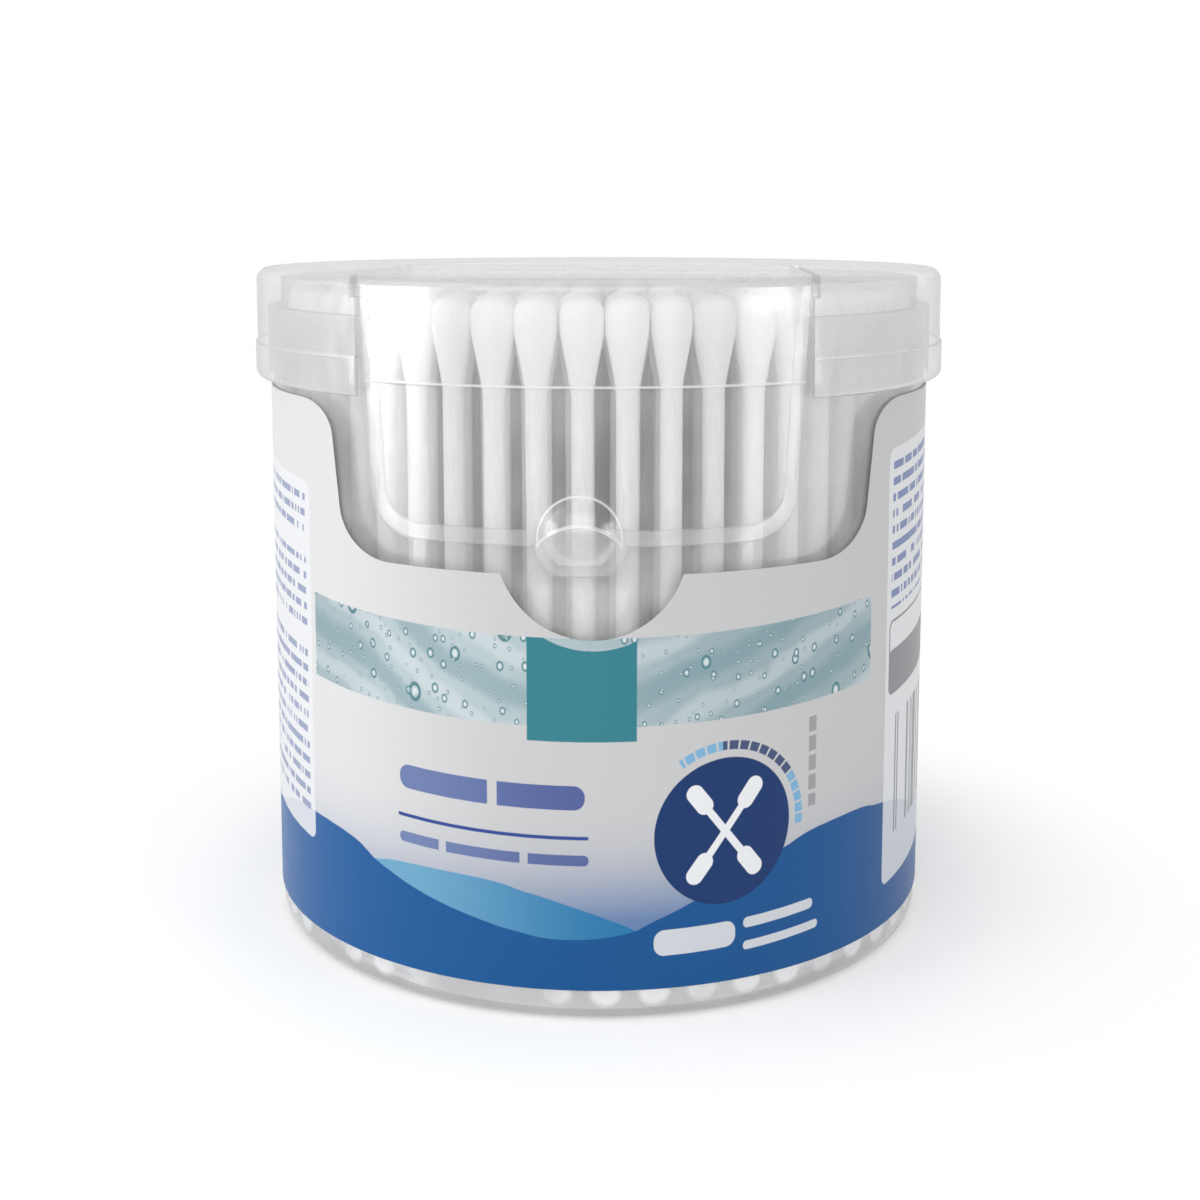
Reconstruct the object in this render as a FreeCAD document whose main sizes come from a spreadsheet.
"""A clear round tub of cotton swabs: press-on lid, hinged front flap, wrap label and the swabs.

Units are millimetres. The tub rests on Z = 0, its axis is Z, and the front with the flap faces -Y.
"""
import FreeCAD, Part
import math
import os

import Sketcher

SIZES = (
    ("OverallHeight", 81.0, "lid top above the resting face"),
    ("RimDepth", 4.7, "tub's rim below the lid's top"),
    ("RimRadius", 41.2, "outside of the tub at its rim"),
    ("DraftWidth", 0.2, "how much the tub's radius narrows from rim to foot"),
    ("TubWall", 1.3, "thickness of the tub's wall"),
    ("TubFloor", 1.2, "thickness of the tub's floor"),
    ("RecessDepth", 2.0, "recess under the floor"),
    ("FootWidth", 1.5, "flat width of the ring that the tub rests on"),
    ("FootRadius", 1.4, "round corner at the foot"),
    ("FloorBevel", 0.6, "bevel of the inner corner at the floor"),
    ("WindowLap", 1.3, "apron beyond the edge of the dispensing window"),
    ("WindowRadius", 3.9, "round lower corners of the window"),
    ("ThumbDepth", 1.8, "depth of the thumb recess below the flap's tab"),
    ("ThumbRadius", 20.0, "radius of the recess's round face"),
    ("ThumbWall", 1.0, "wall behind the thumb recess"),
    ("ThumbDrop", 1.3, "middle of the recess below the apron's edge"),
    ("FilmThickness", 0.25, "thickness of the label film"),
    ("GlueThickness", 0.05, "adhesive between film and wall"),
    ("LabelHeight", 63.0, "height of the label film"),
    ("LabelGap", 1.0, "bare wall between label and skirt"),
    ("LabelTurn", 4.0, "degrees that the label's cut-out is off the flap's middle"),
    ("CutoutTopHalf", 31.0, "half width of the label's cut-out at its top"),
    ("CutoutLowHalf", 29.2, "half width of the label's cut-out at its bottom"),
    ("CutoutGap", 3.3, "bare wall between apron and label below it"),
    ("CutoutRadius", 6.0, "round lower corners of the cut-out"),
    ("ShoulderRadius", 4.2, "round upper corners of the label beside the cut-out"),
    ("NotchRadius", 10.3, "round thumb notch in the cut-out, centred on the apron's edge"),
    ("NotchOffset", 1.6, "thumb notch to the left of the cut-out's middle"),
    ("LidWall", 1.2, "thickness of the lid's top"),
    ("LidEdgeRadius", 1.5, "round edge of the lid's top"),
    ("LidGap", 0.5, "clearance between tub and lid"),
    ("SkirtWall", 1.3, "thickness of the lid's skirt"),
    ("SkirtHeight", 13.4, "height of the skirt below the lid's top"),
    ("LipHeight", 4.4, "height of the wider lip at the skirt's lower edge"),
    ("LipWidth", 0.25, "lip beyond the skirt"),
    ("LipRadius", 1.1, "round lower edge of the lip"),
    ("LedgeWidth", 1.1, "width of the ledge that seats on the rim"),
    ("SeatGap", 0.1, "gap between ledge and rim"),
    ("FlapHalf", 24.6, "half width of the flap at the top"),
    ("ApronHalf", 23.0, "half width of the apron at its bottom"),
    ("ApronHeight", 28.3, "apron's lower edge below the lid's top"),
    ("ApronRadius", 5.2, "round lower corners of the apron"),
    ("ApronWall", 0.8, "thickness of the apron"),
    ("BandHeight", 11.5, "height of the thicker band at the top of the flap"),
    ("SlitWidth", 0.3, "slit between flap and lid ring"),
    ("ReliefWidth", 0.6, "extra width of the slit's relief at the lid's edge"),
    ("ReliefHeight", 2.5, "height of the slit's relief"),
    ("HingeOffset", 3.6, "hinge line behind the axis of the tub"),
    ("HingeGap", 0.3, "clearance around the hinge bead"),
    ("HingeBevel", 0.5, "how much further back the ring's edge is at the top face"),
    ("TabRadius", 6.5, "outer radius of the domed thumb tab"),
    ("TabDepth", 1.7, "tab beyond the apron"),
    ("TabWall", 1.1, "thickness of the tab's dome"),
    ("TabRise", 0.9, "centre of the dome above the apron's edge"),
    ("TabDrop", 3.2, "flat lower end of the tab below the apron's edge"),
    ("HeadGap", 1.1, "space between the swabs and the lid"),
    ("StickWidth", 2.4, "thickness of a paper stick"),
    ("TipWidth", 4.4, "width of a cotton tip"),
    ("TipLength", 10.5, "length of a cotton tip"),
    ("NeckWidth", 2.9, "width of a tip where it ends on the stick"),
    ("CapLength", 0.9, "cotton beyond the end of the stick"),
    ("TipGap", 0.1, "least space between neighbouring tips"),
)

doc = FreeCAD.newDocument("swab_tub")


def make_sheet():
    """The driving dimensions, one row each: name, value and meaning."""
    made = doc.addObject("Spreadsheet::Sheet", "Sizes")
    for row, (name, number, meaning) in enumerate(SIZES, start=1):
        made.set(f"A{row}", name)
        made.set(f"B{row}", str(number))
        made.set(f"C{row}", meaning)
        made.setAlias(f"B{row}", name)
    doc.recompute()
    return made


sheet = make_sheet()


def value(expression):
    """The number that an expression on the sheet's sizes gives now."""
    return float(sheet.evalExpression(expression))


def origin_part(body, role):
    """A plane or axis of the body's own origin."""
    return next(o for o in body.Origin.OriginFeatures if o.Role == role)


def new_body(label):
    body = doc.addObject("PartDesign::Body", label)
    body.Label = label
    return body


def new_sketch(body, name, plane):
    """An empty sketch on one of the body's origin planes."""
    sketch = body.newObject("Sketcher::SketchObject", name)
    sketch.AttachmentSupport = [(origin_part(body, plane), "")]
    sketch.MapMode = "FlatFace"
    return sketch


def drive(sketch, kind, name, geometry, expression, *position):
    """One dimension of the sketch, bound to the sheet."""
    number = value(expression)
    index = sketch.addConstraint(Sketcher.Constraint(kind, geometry, *position, number))
    sketch.renameConstraint(index, name)
    sketch.setExpression(f"Constraints.{name}", expression)


def unit(start, end):
    return (end - start).normalize()


def rounded_corner(before, corner, after, radius):
    """Where a round of this radius starts and ends at a corner, its centre, and if it turns left."""
    back = unit(corner, before)
    ahead = unit(corner, after)
    half = back.getAngle(ahead) / 2
    reach = radius / math.tan(half)
    centre = corner + (back + ahead).normalize() * (radius / math.sin(half))
    left = back.cross(ahead).z < 0
    return corner + back * reach, corner + ahead * reach, centre, left


def outline(sketch, corners):
    """A closed outline whose corners are (x, y) or (x, y, radius), each an expression on the sheet.

    A round corner keeps its sharp point as construction, so its place stays a size of its own.
    """
    points = [FreeCAD.Vector(value(c[0]), value(c[1]), 0) for c in corners]
    count = len(points)
    rounds = {}
    for i, corner in enumerate(corners):
        if len(corner) == 3:
            near = (points[i - 1], points[i], points[(i + 1) % count])
            rounds[i] = rounded_corner(*near, value(corner[2]))
    for i in range(count):
        after = (i + 1) % count
        start = rounds[i][1] if i in rounds else points[i]
        end = rounds[after][0] if after in rounds else points[after]
        sketch.addGeometry(Part.LineSegment(start, end), False)
    for i, corner in enumerate(corners):
        before = (i - 1) % count
        if i not in rounds:
            sketch.addConstraint(Sketcher.Constraint("Coincident", before, 2, i, 1))
            drive(sketch, "DistanceX", f"x{i}", i, corner[0], 1)
            drive(sketch, "DistanceY", f"y{i}", i, corner[1], 1)
            continue
        first, last, centre, left = rounds[i]
        start, end = (first, last) if left else (last, first)
        circle = Part.Circle(centre, FreeCAD.Vector(0, 0, 1), value(corner[2]))
        arc = Part.ArcOfCircle(circle, circle.parameter(start), circle.parameter(end))
        arc_index = sketch.addGeometry(arc, False)
        point = sketch.addGeometry(Part.Point(points[i]), True)
        drive(sketch, "DistanceX", f"x{i}", point, corner[0], 1)
        drive(sketch, "DistanceY", f"y{i}", point, corner[1], 1)
        sketch.addConstraint(Sketcher.Constraint("PointOnObject", point, 1, before))
        sketch.addConstraint(Sketcher.Constraint("PointOnObject", point, 1, i))
        into, out = (1, 2) if left else (2, 1)
        sketch.addConstraint(Sketcher.Constraint("Tangent", before, 2, arc_index, into))
        sketch.addConstraint(Sketcher.Constraint("Tangent", i, 1, arc_index, out))
        drive(sketch, "Radius", f"r{i}", arc_index, corner[2])


def revolved(body, name, corners):
    """A full turn about Z of a profile whose x is the radius and y the height."""
    sketch = new_sketch(body, f"{name}_profile", "XZ_Plane")
    outline(sketch, corners)
    turn = body.newObject("PartDesign::Revolution", name)
    turn.Profile = sketch
    turn.ReferenceAxis = (sketch, ["V_Axis"])
    turn.Angle = 360.0
    body.Tip = turn
    return turn


def pad_to_front(body, name, corners, reach):
    """An outline in X and Z, made thick from the tub's axis towards the front."""
    sketch = new_sketch(body, f"{name}_outline", "XZ_Plane")
    outline(sketch, corners)
    pad = body.newObject("PartDesign::Pad", name)
    pad.Profile = sketch
    pad.setExpression("Length", reach)
    body.Tip = pad
    return pad


def pocket(body, name, plane, corners, length, reverse=False, both_ways=False):
    """A cut of an outline through the body's solid."""
    sketch = new_sketch(body, f"{name}_outline", plane)
    outline(sketch, corners)
    cut = body.newObject("PartDesign::Pocket", name)
    cut.Profile = sketch
    cut.setExpression("Length", length)
    cut.Reversed = reverse
    cut.Midplane = both_ways
    body.Tip = cut
    return cut


def primitive(kind, name, place, **sizes):
    """A Part primitive whose sizes and place are expressions on the sheet."""
    made = doc.addObject(kind, name)
    for key, expression in {**sizes, **place}.items():
        made.setExpression(key.replace("_", "."), expression)
    return made


def boolean(kind, name, base, tool):
    made = doc.addObject(kind, name)
    made.Base = base
    made.Tool = tool
    return made


# Radii and heights that several pieces share
TOP = "Sizes.OverallHeight"
RIM_TOP = "(Sizes.OverallHeight - Sizes.RimDepth)"
BASE_RADIUS = "(Sizes.RimRadius - Sizes.DraftWidth)"
FLOOR_TOP = "(Sizes.RecessDepth + Sizes.TubFloor)"
FLOOR_RADIUS = f"({BASE_RADIUS} - Sizes.TubWall)"
RIM_INNER = "(Sizes.RimRadius - Sizes.TubWall)"
LID_INNER = "(Sizes.RimRadius + Sizes.LidGap)"
SKIRT_RADIUS = f"({LID_INNER} + Sizes.SkirtWall)"
SKIRT_FOOT = "(Sizes.OverallHeight - Sizes.SkirtHeight)"
APRON_RADIUS = f"({LID_INNER} + Sizes.ApronWall)"
APRON_FOOT = "(Sizes.OverallHeight - Sizes.ApronHeight)"
TAB_FOOT = f"({APRON_FOOT} - Sizes.TabDrop)"
LID_UNDER = "(Sizes.OverallHeight - Sizes.LidWall)"
HINGE_HEIGHT = "(Sizes.OverallHeight - Sizes.LidWall / 2)"
LABEL_TOP = f"({SKIRT_FOOT} - Sizes.LabelGap)"
LABEL_FOOT = f"({LABEL_TOP} - Sizes.LabelHeight)"
TAB_CENTRE = f"({APRON_RADIUS} + Sizes.TabDepth - Sizes.TabRadius)"
SLOT_HALF = "(Sizes.FlapHalf + Sizes.SlitWidth)"
SPARE = "Sizes.LidWall"
PAST_FRONT = f"({SKIRT_RADIUS} + Sizes.TabRadius)"


def wall_radius(height):
    """Expression for the outside of the drafted tub wall at a height."""
    return f"({BASE_RADIUS} + Sizes.DraftWidth * {height} / {RIM_TOP})"


def window_corners():
    """The dispensing window, inside the apron's outline by its lap, open at the rim."""
    low = "(Sizes.ApronHalf - Sizes.WindowLap)"
    high = "(Sizes.FlapHalf - Sizes.WindowLap)"
    sill = f"({APRON_FOOT} + Sizes.WindowLap)"
    return (
        (f"-{high}", TOP),
        (f"-{low}", sill, "Sizes.WindowRadius"),
        (low, sill, "Sizes.WindowRadius"),
        (high, TOP),
    )


def make_tub():
    """Drafted cup with a foot ring, a thumb recess and the open-topped window at the front."""
    wall = new_body("tub_shell")
    foot_inner = f"({BASE_RADIUS} - Sizes.FootRadius - Sizes.FootWidth)"
    revolved(
        wall,
        "tub_turned",
        (
            ("0", "Sizes.RecessDepth"),
            (foot_inner, "Sizes.RecessDepth"),
            (foot_inner, "0"),
            (BASE_RADIUS, "0", "Sizes.FootRadius"),
            ("Sizes.RimRadius", RIM_TOP),
            (RIM_INNER, RIM_TOP),
            (FLOOR_RADIUS, f"{FLOOR_TOP} + Sizes.FloorBevel"),
            (f"{FLOOR_RADIUS} - Sizes.FloorBevel", FLOOR_TOP),
            ("0", FLOOR_TOP),
        ),
    )
    middle = f"({APRON_FOOT} - Sizes.ThumbDrop)"
    centre = f"({wall_radius(middle)} - Sizes.ThumbDepth + Sizes.ThumbRadius)"
    place = {"Placement_Base_y": f"-{centre}", "Placement_Base_z": middle}
    dish = primitive("Part::Sphere", "thumb_dish", place, Radius="Sizes.ThumbRadius")
    behind = "Sizes.ThumbRadius + Sizes.ThumbWall"
    pad = primitive("Part::Sphere", "thumb_backing_ball", place, Radius=behind)
    column = primitive(
        "Part::Cylinder",
        "wall_column",
        {},
        Radius=f"{BASE_RADIUS} - Sizes.TubWall / 2",
        Height=TOP,
    )
    backing = boolean("Part::Common", "thumb_backing", pad, column)
    backed = boolean("Part::Fuse", "tub_backed", wall, backing)
    dished = boolean("Part::Cut", "tub_dished", backed, dish)
    window = new_body("window_tool")
    pad_to_front(window, "window_block", window_corners(), PAST_FRONT)
    return boolean("Part::Cut", "tub", dished, window)


def make_label():
    """Film wrapped round the tub, with the shaped cut-out that leaves the window and tab bare."""
    body = new_body("label")
    low = f"({wall_radius(LABEL_FOOT)} + Sizes.GlueThickness)"
    high = f"({wall_radius(LABEL_TOP)} + Sizes.GlueThickness)"
    revolved(
        body,
        "film",
        (
            (low, LABEL_FOOT),
            (f"{low} + Sizes.FilmThickness", LABEL_FOOT),
            (f"{high} + Sizes.FilmThickness", LABEL_TOP),
            (high, LABEL_TOP),
        ),
    )
    floor = f"({APRON_FOOT} - Sizes.CutoutGap)"
    pocket(
        body,
        "cutout",
        "XZ_Plane",
        (
            (f"-{PAST_FRONT}", LABEL_TOP),
            ("-Sizes.CutoutTopHalf", LABEL_TOP, "Sizes.ShoulderRadius"),
            ("-Sizes.CutoutLowHalf", floor, "Sizes.CutoutRadius"),
            ("Sizes.CutoutLowHalf", floor, "Sizes.CutoutRadius"),
            ("Sizes.CutoutTopHalf", LABEL_TOP, "Sizes.ShoulderRadius"),
            (PAST_FRONT, LABEL_TOP),
            (PAST_FRONT, TOP),
            (f"-{PAST_FRONT}", TOP),
        ),
        PAST_FRONT,
        reverse=True,
    )
    notch_sketch = new_sketch(body, "notch_outline", "XZ_Plane")
    middle = FreeCAD.Vector(-value("Sizes.NotchOffset"), value(APRON_FOOT), 0)
    ring = Part.Circle(middle, FreeCAD.Vector(0, 0, 1), value("Sizes.NotchRadius"))
    notch_circle = notch_sketch.addGeometry(ring, False)
    drive(notch_sketch, "DistanceX", "notch_side", notch_circle, "-Sizes.NotchOffset", 3)
    drive(notch_sketch, "DistanceY", "notch_height", notch_circle, APRON_FOOT, 3)
    drive(notch_sketch, "Radius", "notch_radius", notch_circle, "Sizes.NotchRadius")
    notch = body.newObject("PartDesign::Pocket", "thumb_notch")
    notch.Profile = notch_sketch
    notch.setExpression("Length", PAST_FRONT)
    notch.Reversed = True
    body.Tip = notch
    body.setExpression("Placement.Rotation.Angle", "Sizes.LabelTurn")
    return body


def make_lid_ring():
    """The lid without its flap: rear half of the top, side segments and the skirt with its lip."""
    body = new_body("lid_ring")
    lip = f"({SKIRT_RADIUS} + Sizes.LipWidth)"
    lip_top = f"({SKIRT_FOOT} + Sizes.LipHeight)"
    ledge = "(Sizes.RimRadius - Sizes.LedgeWidth)"
    seat = f"({RIM_TOP} + Sizes.SeatGap)"
    revolved(
        body,
        "lid_turned",
        (
            ("0", LID_UNDER),
            (ledge, LID_UNDER),
            (ledge, seat),
            (LID_INNER, seat),
            (LID_INNER, SKIRT_FOOT),
            (lip, SKIRT_FOOT, "Sizes.LipRadius"),
            (lip, lip_top),
            (SKIRT_RADIUS, lip_top),
            (SKIRT_RADIUS, TOP, "Sizes.LidEdgeRadius"),
            ("0", TOP),
        ),
    )
    pocket(
        body,
        "flap_slot",
        "XY_Plane",
        (
            (f"-{SLOT_HALF}", f"-{PAST_FRONT}"),
            (SLOT_HALF, f"-{PAST_FRONT}"),
            (SLOT_HALF, "Sizes.HingeOffset"),
            (f"-{SLOT_HALF}", "Sizes.HingeOffset"),
        ),
        TOP,
        reverse=True,
    )
    seat_radius = "(Sizes.LidWall / 2 + Sizes.HingeGap)"
    front = f"(Sizes.HingeOffset - {SPARE})"
    behind = f"(Sizes.HingeOffset + {seat_radius})"
    pocket(
        body,
        "hinge_seat",
        "YZ_Plane",
        (
            (front, f"{LID_UNDER} - {SPARE}"),
            (behind, f"{LID_UNDER} - {SPARE}"),
            (behind, HINGE_HEIGHT),
            (f"{behind} + Sizes.HingeBevel", TOP),
            (front, TOP),
        ),
        f"2 * {SLOT_HALF}",
        both_ways=True,
    )
    relief = f"({SLOT_HALF} + Sizes.ReliefWidth)"
    low = "(Sizes.OverallHeight - Sizes.ReliefHeight)"
    pocket(
        body,
        "slit_reliefs",
        "XZ_Plane",
        (
            (f"-{relief}", low),
            (relief, low),
            (relief, TOP),
            (f"-{relief}", TOP),
        ),
        PAST_FRONT,
        reverse=True,
    )
    return body


def flap_outline():
    """Front view of the flap: straight sides that draw in a little towards rounded lower corners."""
    return (
        ("-Sizes.FlapHalf", TOP),
        ("-Sizes.ApronHalf", APRON_FOOT, "Sizes.ApronRadius"),
        ("Sizes.ApronHalf", APRON_FOOT, "Sizes.ApronRadius"),
        ("Sizes.FlapHalf", TOP),
    )


def make_lid_flap():
    """Hinged front of the lid: top panel, curved apron with a band, hinge bead and domed tab."""
    shell = new_body("flap_turned")
    below = f"({TAB_FOOT} - {SPARE})"
    band_foot = "(Sizes.OverallHeight - Sizes.BandHeight)"
    revolved(
        shell,
        "flap_shell",
        (
            ("0", LID_UNDER),
            (LID_INNER, LID_UNDER),
            (LID_INNER, below),
            (APRON_RADIUS, below),
            (APRON_RADIUS, band_foot),
            (SKIRT_RADIUS, band_foot),
            (SKIRT_RADIUS, TOP, "Sizes.LidEdgeRadius"),
            ("0", TOP),
        ),
    )
    front = new_body("flap_front")
    pad_to_front(front, "flap_block", flap_outline(), PAST_FRONT)
    behind = primitive(
        "Part::Box",
        "flap_rear_block",
        {"Placement_Base_x": "-Sizes.FlapHalf", "Placement_Base_z": LID_UNDER},
        Length="2 * Sizes.FlapHalf",
        Width="Sizes.HingeOffset",
        Height="Sizes.LidWall",
    )
    block = boolean("Part::Fuse", "flap_limits", front, behind)
    panel = boolean("Part::Common", "flap_panel", shell, block)
    bead = primitive(
        "Part::Cylinder",
        "hinge_bead",
        {
            "Placement_Base_x": "-Sizes.FlapHalf",
            "Placement_Base_y": "Sizes.HingeOffset",
            "Placement_Base_z": HINGE_HEIGHT,
        },
        Radius="Sizes.LidWall / 2",
        Height="2 * Sizes.FlapHalf",
    )
    bead.Placement.Rotation = FreeCAD.Rotation(FreeCAD.Vector(0, 1, 0), 90)
    hinged = boolean("Part::Fuse", "flap_hinged", panel, bead)
    place = {
        "Placement_Base_y": f"-{TAB_CENTRE}",
        "Placement_Base_z": f"{APRON_FOOT} + Sizes.TabRise",
    }
    dome = primitive("Part::Sphere", "tab_dome", place, Radius="Sizes.TabRadius")
    inside = primitive(
        "Part::Cylinder",
        "apron_inside",
        {},
        Radius=LID_INNER,
        Height=TOP,
    )
    outer_dome = boolean("Part::Cut", "tab_outside", dome, inside)
    half = "Sizes.TabRadius"
    keep = primitive(
        "Part::Box",
        "tab_limits",
        {
            "Placement_Base_x": f"-{half}",
            "Placement_Base_y": f"-{PAST_FRONT}",
            "Placement_Base_z": TAB_FOOT,
        },
        Length=f"2 * {half}",
        Width=PAST_FRONT,
        Height=TOP,
    )
    tab = boolean("Part::Common", "tab_solid", outer_dome, keep)
    whole = boolean("Part::Fuse", "flap_with_tab", hinged, tab)
    hollow_ball = primitive(
        "Part::Sphere",
        "tab_hollow_ball",
        place,
        Radius="Sizes.TabRadius - Sizes.TabWall",
    )
    above_floor = primitive(
        "Part::Box",
        "tab_hollow_limits",
        {
            "Placement_Base_x": f"-{half}",
            "Placement_Base_y": f"-{PAST_FRONT}",
            "Placement_Base_z": f"{TAB_FOOT} + Sizes.TabWall",
        },
        Length=f"2 * {half}",
        Width=PAST_FRONT,
        Height=TOP,
    )
    hollow = boolean("Part::Common", "tab_hollow", hollow_ball, above_floor)
    return boolean("Part::Cut", "lid_flap", whole, hollow)


def swab_places():
    """Places of the swabs as (radius, angle): rows that follow the wall, each as full as it can be."""
    half_width = value("Sizes.TipWidth") / 2
    gap = value("Sizes.TipGap")
    radius = value(f"{FLOOR_RADIUS} - Sizes.FloorBevel") - half_width
    row = 0
    while radius > half_width:
        inner_edge = radius - half_width
        count = int(math.pi / math.atan2(half_width + gap / 2, inner_edge))
        for place in range(count):
            yield radius, 2 * math.pi * (place + 0.5 * (row % 2)) / count
        radius -= 2 * half_width + gap
        row += 1


def prism(sides, low_width, high_width, low, high):
    """A straight-sided bar between two heights; its widths are across opposite flats."""
    rims = []
    for width, height in ((low_width, low), (high_width, high)):
        reach = width / 2 / math.cos(math.pi / sides)
        steps = [math.pi * (2 * i + 1) / sides for i in range(sides)]
        rims.append([FreeCAD.Vector(reach * math.cos(a), reach * math.sin(a), height) for a in steps])
    bottom, top = rims
    loops = [bottom, top]
    for i in range(sides):
        j = (i + 1) % sides
        loops.append([bottom[i], bottom[j], top[j], top[i]])
    faces = [Part.Face(Part.makePolygon(loop + [loop[0]])) for loop in loops]
    return Part.makeSolid(Part.makeShell(faces))


def grouped(label, shapes):
    """A group of like solids, set at every swab's place."""
    copies = []
    for radius, angle in swab_places():
        for shape in shapes:
            copy = shape.copy()
            copy.translate(FreeCAD.Vector(radius, 0, 0))
            copy.rotate(FreeCAD.Vector(0, 0, 0), FreeCAD.Vector(0, 0, 1), math.degrees(angle))
            copies.append(copy)
    group = doc.addObject("Part::Feature", label)
    group.Label = label
    group.Shape = Part.makeCompound(copies)
    group.Placement = FreeCAD.Placement()
    return group


def make_swabs():
    """Paper sticks and the cotton tips wound on both their ends, standing on the tub's floor."""
    low = value(FLOOR_TOP)
    high = value(f"{LID_UNDER} - Sizes.HeadGap")
    cap = value("Sizes.CapLength")
    length = value("Sizes.TipLength")
    tip, neck, stick = (value(f"Sizes.{n}") for n in ("TipWidth", "NeckWidth", "StickWidth"))
    bar = prism(6, stick, stick, low + cap, high - cap)
    lower = prism(4, tip, neck, low, low + length)
    upper = prism(4, neck, tip, high - length, high)
    return (
        grouped("paper_sticks", [bar]),
        grouped("cotton_tips_lower", [lower]),
        grouped("cotton_tips_upper", [upper]),
    )


def checked(piece):
    """The piece's solids, once its shape is known to be whole."""
    shape = piece.Shape
    if shape.isNull() or not shape.isValid() or not shape.Solids:
        raise RuntimeError(f"{piece.Label} has no valid solid")
    return shape


def main():
    pieces = [make_tub(), make_label(), make_lid_ring(), make_lid_flap()]
    doc.recompute()
    pieces.extend(make_swabs())
    doc.recompute()
    for item in doc.Objects:
        if any(word in item.State for word in ("Invalid", "Error")):
            raise RuntimeError(f"{item.Label} failed: {item.State}")
    os.makedirs("parts", exist_ok=True)
    for piece in pieces:
        shape = checked(piece)
        shape.exportStep(os.path.join("parts", f"{piece.Label}.step"))
        box = shape.BoundBox
        corners = [round(v, 2) for v in (box.XMin, box.XMax, box.YMin, box.YMax, box.ZMin, box.ZMax)]
        print(piece.Label, len(shape.Solids), round(shape.Volume, 1), corners)


main()
